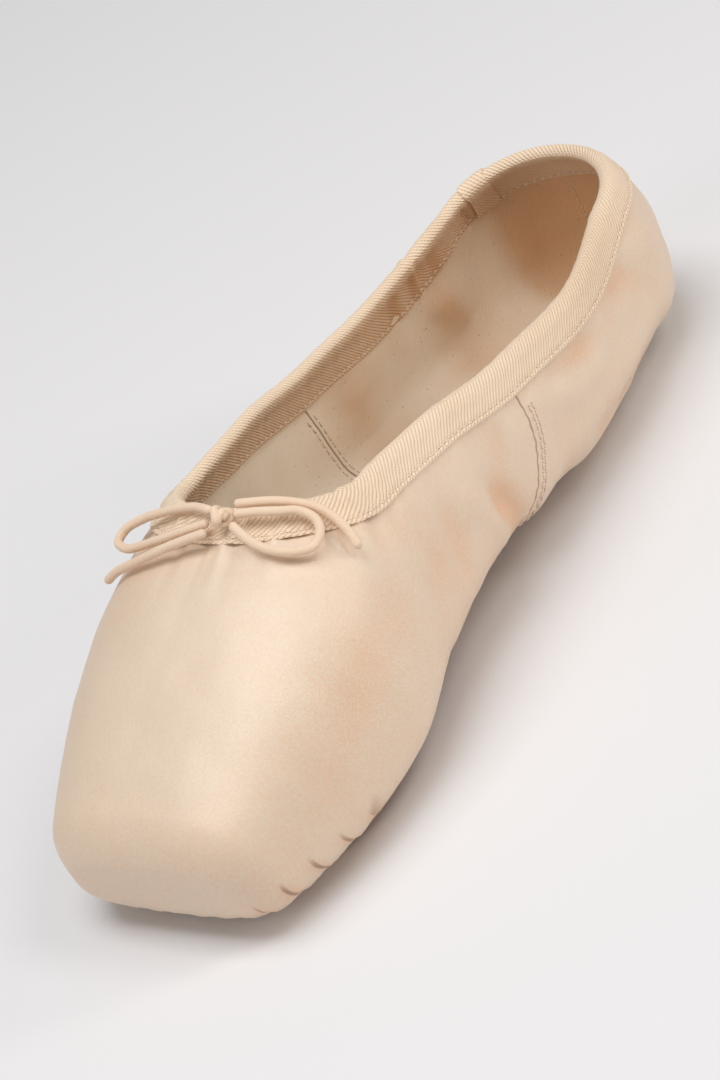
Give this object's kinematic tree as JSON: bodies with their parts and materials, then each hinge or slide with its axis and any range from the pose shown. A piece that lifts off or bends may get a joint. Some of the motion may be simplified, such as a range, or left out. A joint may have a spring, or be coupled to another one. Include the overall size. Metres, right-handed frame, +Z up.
{
  "type": "pointe shoe",
  "caption": "Satin ballet pointe shoe with a flat platform toe, folded collar binding, heel strip, short leather outsole and a drawstring bow at the throat.",
  "frame": {"origin": "on the floor under the middle of the shoe, halfway along it and across it", "axes": "+X towards the toe, +Y towards the wearer's left, +Z up from the sole"},
  "size_m": [0.2322, 0.079, 0.0691],
  "materials": {
    "satin": "glossy pale peach satin",
    "twill": "matt peach twill tape",
    "cotton": "matt cream cotton",
    "sole_leather": "brown buffed leather",
    "cord": "matt peach cotton cord"
  },
  "bodies": {
    "root": {"upper": "satin", "outsole": "sole_leather", "insole": "cotton", "collar_binding": "twill", "heel_strip": "satin", "bow_knot": "cord", "bow_loop_left": "cord", "bow_loop_right": "cord", "bow_end_left": "cord", "bow_end_right": "cord"}
  },
  "joints": []
}
